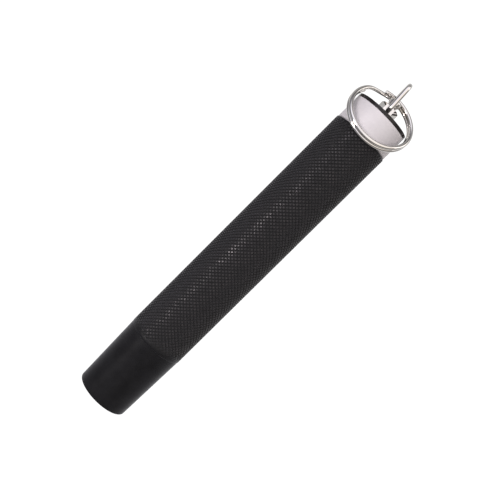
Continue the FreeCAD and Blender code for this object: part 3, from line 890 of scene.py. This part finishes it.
def bail():
    """Bent wire loop with its ends in the collar's side holes."""
    pivot_x = JOINTS["bail_swing"]["pos_m"][0]
    pivot = Vector((pivot_x, 0, 0))
    rest_turn = Matrix.Rotation(math.radians(BAIL_REST_DEG), 3, "Z")
    unturned = [rest_turn.transposed() @ (v.co - pivot) + pivot
                for v in NODES["bail"].data.vertices]
    wire_r = max(p.y for p in unturned)
    width = max(p.z for p in unturned) - wire_r
    top_x = max(p.x for p in unturned) - wire_r
    hole_z = min(abs(p.z) for p in unturned)
    foot, top = BAIL_FOOT_BEND, BAIL_TOP_BEND
    path = [(pivot_x, 0, hole_z)]

    def bend(cx, cz, radius, start_deg):
        for k in range(BAIL_BEND_STEPS + 1):
            angle = math.radians(start_deg - 90 * k / BAIL_BEND_STEPS)
            path.append((cx + radius * math.cos(angle), 0, cz + radius * math.sin(angle)))

    def straight(end, steps):
        start = path[-1]
        for k in range(1, steps):
            path.append(tuple(p + (q - p) * k / steps for p, q in zip(start, end)))

    straight((pivot_x, 0, width - foot), steps=4)
    bend(pivot_x + foot, width - foot, foot, 180)
    straight((top_x - top, 0, width), steps=6)
    bend(top_x - top, width - top, top, 90)
    straight((top_x, 0, -(width - top)), steps=8)
    bend(top_x - top, -(width - top), top, 0)
    straight((pivot_x + foot, 0, -width), steps=6)
    bend(pivot_x + foot, -(width - foot), foot, -90)
    straight((pivot_x, 0, -hole_z), steps=4)
    path.append((pivot_x, 0, -hole_z))
    path = [rest_turn @ (Vector(p) - pivot) + pivot for p in path]
    side = rest_turn @ Vector((0, 1, 0))
    verts, faces = swept_wire(path, wire_r, wire_r, lambda i: side, BAIL_END_ROUND)
    make_piece("bail_wire", "bail", "bail", verts, faces, WIRE_CREASE_DEG)


# ======================================================================================
# Parts that keep their CAD shape
# ======================================================================================
def finish_cad_nodes():
    """Each CAD node that is still shown gets its slot's material."""
    for name, node in NODES.items():
        if node.hide_render:
            continue
        node.data.materials.clear()
        node.data.materials.append(SLOT_MATERIALS[NODE_SLOTS[name]])


# ======================================================================================
# Stage, light and camera
# ======================================================================================
def studio_floor():
    mesh = bpy.data.meshes.new("floor")
    h = FLOOR_SIZE / 2
    z = cad_low.z - FLOOR_DROP
    mesh.from_pydata([(-h, -h, z), (h, -h, z), (h, h, z), (-h, h, z)], [], [(0, 1, 2, 3)])
    mesh.materials.append(paper_floor_with_painted_glow())
    floor = bpy.data.objects.new("floor", mesh)
    bpy.context.scene.collection.objects.link(floor)


def studio_world():
    """A soft dome that leans towards the key ring's end, and is dim all round below it."""
    world = bpy.data.worlds.new("studio")
    world.use_nodes = True
    n = Nodes(world.node_tree)
    direction = n.add("ShaderNodeTexCoord").outputs["Generated"]
    to_dome = n.add("ShaderNodeVectorMath", operation="DOT_PRODUCT")
    n.feed(to_dome.inputs[0], direction)
    n.feed(to_dome.inputs[1], DOME_AXIS)
    level = n.add("ShaderNodeFloatCurve")
    curve = level.mapping.curves[0]
    for _ in SKY[1:-1]:
        curve.points.new(0.5, 0.5)
    for point, (place, value) in zip(curve.points, SKY):
        point.location = ((place + 1) / 2, value / SKY_PEAK)
    level.mapping.update()
    height = n.remap(to_dome.outputs["Value"], low=0, high=1, from_low=-1.0, from_high=1.0)
    n.feed(level.inputs["Value"], height)
    split = n.add("ShaderNodeSeparateXYZ")
    n.feed(split.inputs["Vector"], direction)
    to_key = n.remap(split.outputs["Y"], low=0, high=1, from_low=-TINT_REACH,
                     from_high=TINT_REACH)
    lit = n.add("ShaderNodeVectorMath", operation="SCALE")
    n.feed(lit.inputs[0], n.mix(to_key, TINT_FAR_SIDE, TINT_KEY_SIDE, "RGBA"))
    n.feed(lit.inputs["Scale"], level.outputs["Value"])
    sky = n.tree.nodes["Background"]
    n.feed(sky.inputs["Color"], lit.outputs["Vector"])
    n.feed(sky.inputs["Strength"], SKY_PEAK)
    backdrop = n.add("ShaderNodeBackground", Color=BACKDROP)
    n.mix_shader(n.seen_by_camera(), sky.outputs["Background"],
                 backdrop.outputs["Background"], "World Output")
    bpy.context.scene.world = world


def softbox(name, offset, along, length, width, power, colour):
    """A soft panel that faces the tool's middle, with its long side along a direction."""
    light = bpy.data.lights.new(name, "AREA")
    light.shape = "RECTANGLE"
    light.size, light.size_y = length, width
    light.energy = power
    light.color = colour
    back = offset.normalized()
    first = (along - back * along.dot(back)).normalized()
    turn = Matrix((first, back.cross(first), back)).transposed().to_4x4()
    lamp = bpy.data.objects.new(name, light)
    lamp.matrix_world = Matrix.Translation((cad_low + cad_high) / 2 + offset) @ turn
    bpy.context.scene.collection.objects.link(lamp)


def studio_light():
    """A long key panel high on the +Y side, and a low panel past the key ring's end."""
    softbox("key", offset=Vector((-0.11, 0.57, 0.73)), along=Vector((0.28, -0.18, 0.19)),
            length=0.40, width=0.17, power=3.50, colour=(1.0, 0.94, 0.93))
    softbox("rim", offset=Vector((0.62, -0.42, 0.05)), along=Vector((0, 0, 1)),
            length=0.34, width=0.40, power=0.62, colour=(1.0, 0.97, 0.95))


def photo_camera():
    camera = bpy.data.cameras.new("camera")
    camera.lens = CAMERA_LENS
    camera.sensor_width = CAMERA_SENSOR
    camera.shift_x, camera.shift_y = -CAMERA_SHIFT, CAMERA_SHIFT
    camera.clip_start, camera.clip_end = CAMERA_CLIP
    tilt, lean, spin = (math.radians(a) for a in CAMERA_TURN_DEG)
    world_to_camera = (Matrix.Rotation(spin, 4, "Z") @ Matrix.Rotation(lean, 4, "Y")
                       @ Matrix.Rotation(tilt, 4, "X"))
    holder = bpy.data.objects.new("camera", camera)
    holder.matrix_world = Matrix.Translation(CAMERA_PLACE) @ world_to_camera.transposed()
    bpy.context.scene.collection.objects.link(holder)
    bpy.context.scene.camera = holder


knurled_handle()
nose_cap()
tail_cap()
small_turned_parts()
split_ring()
bail()
finish_cad_nodes()
studio_floor()
studio_world()
studio_light()
photo_camera()
bpy.context.scene.view_settings.view_transform = "Standard"
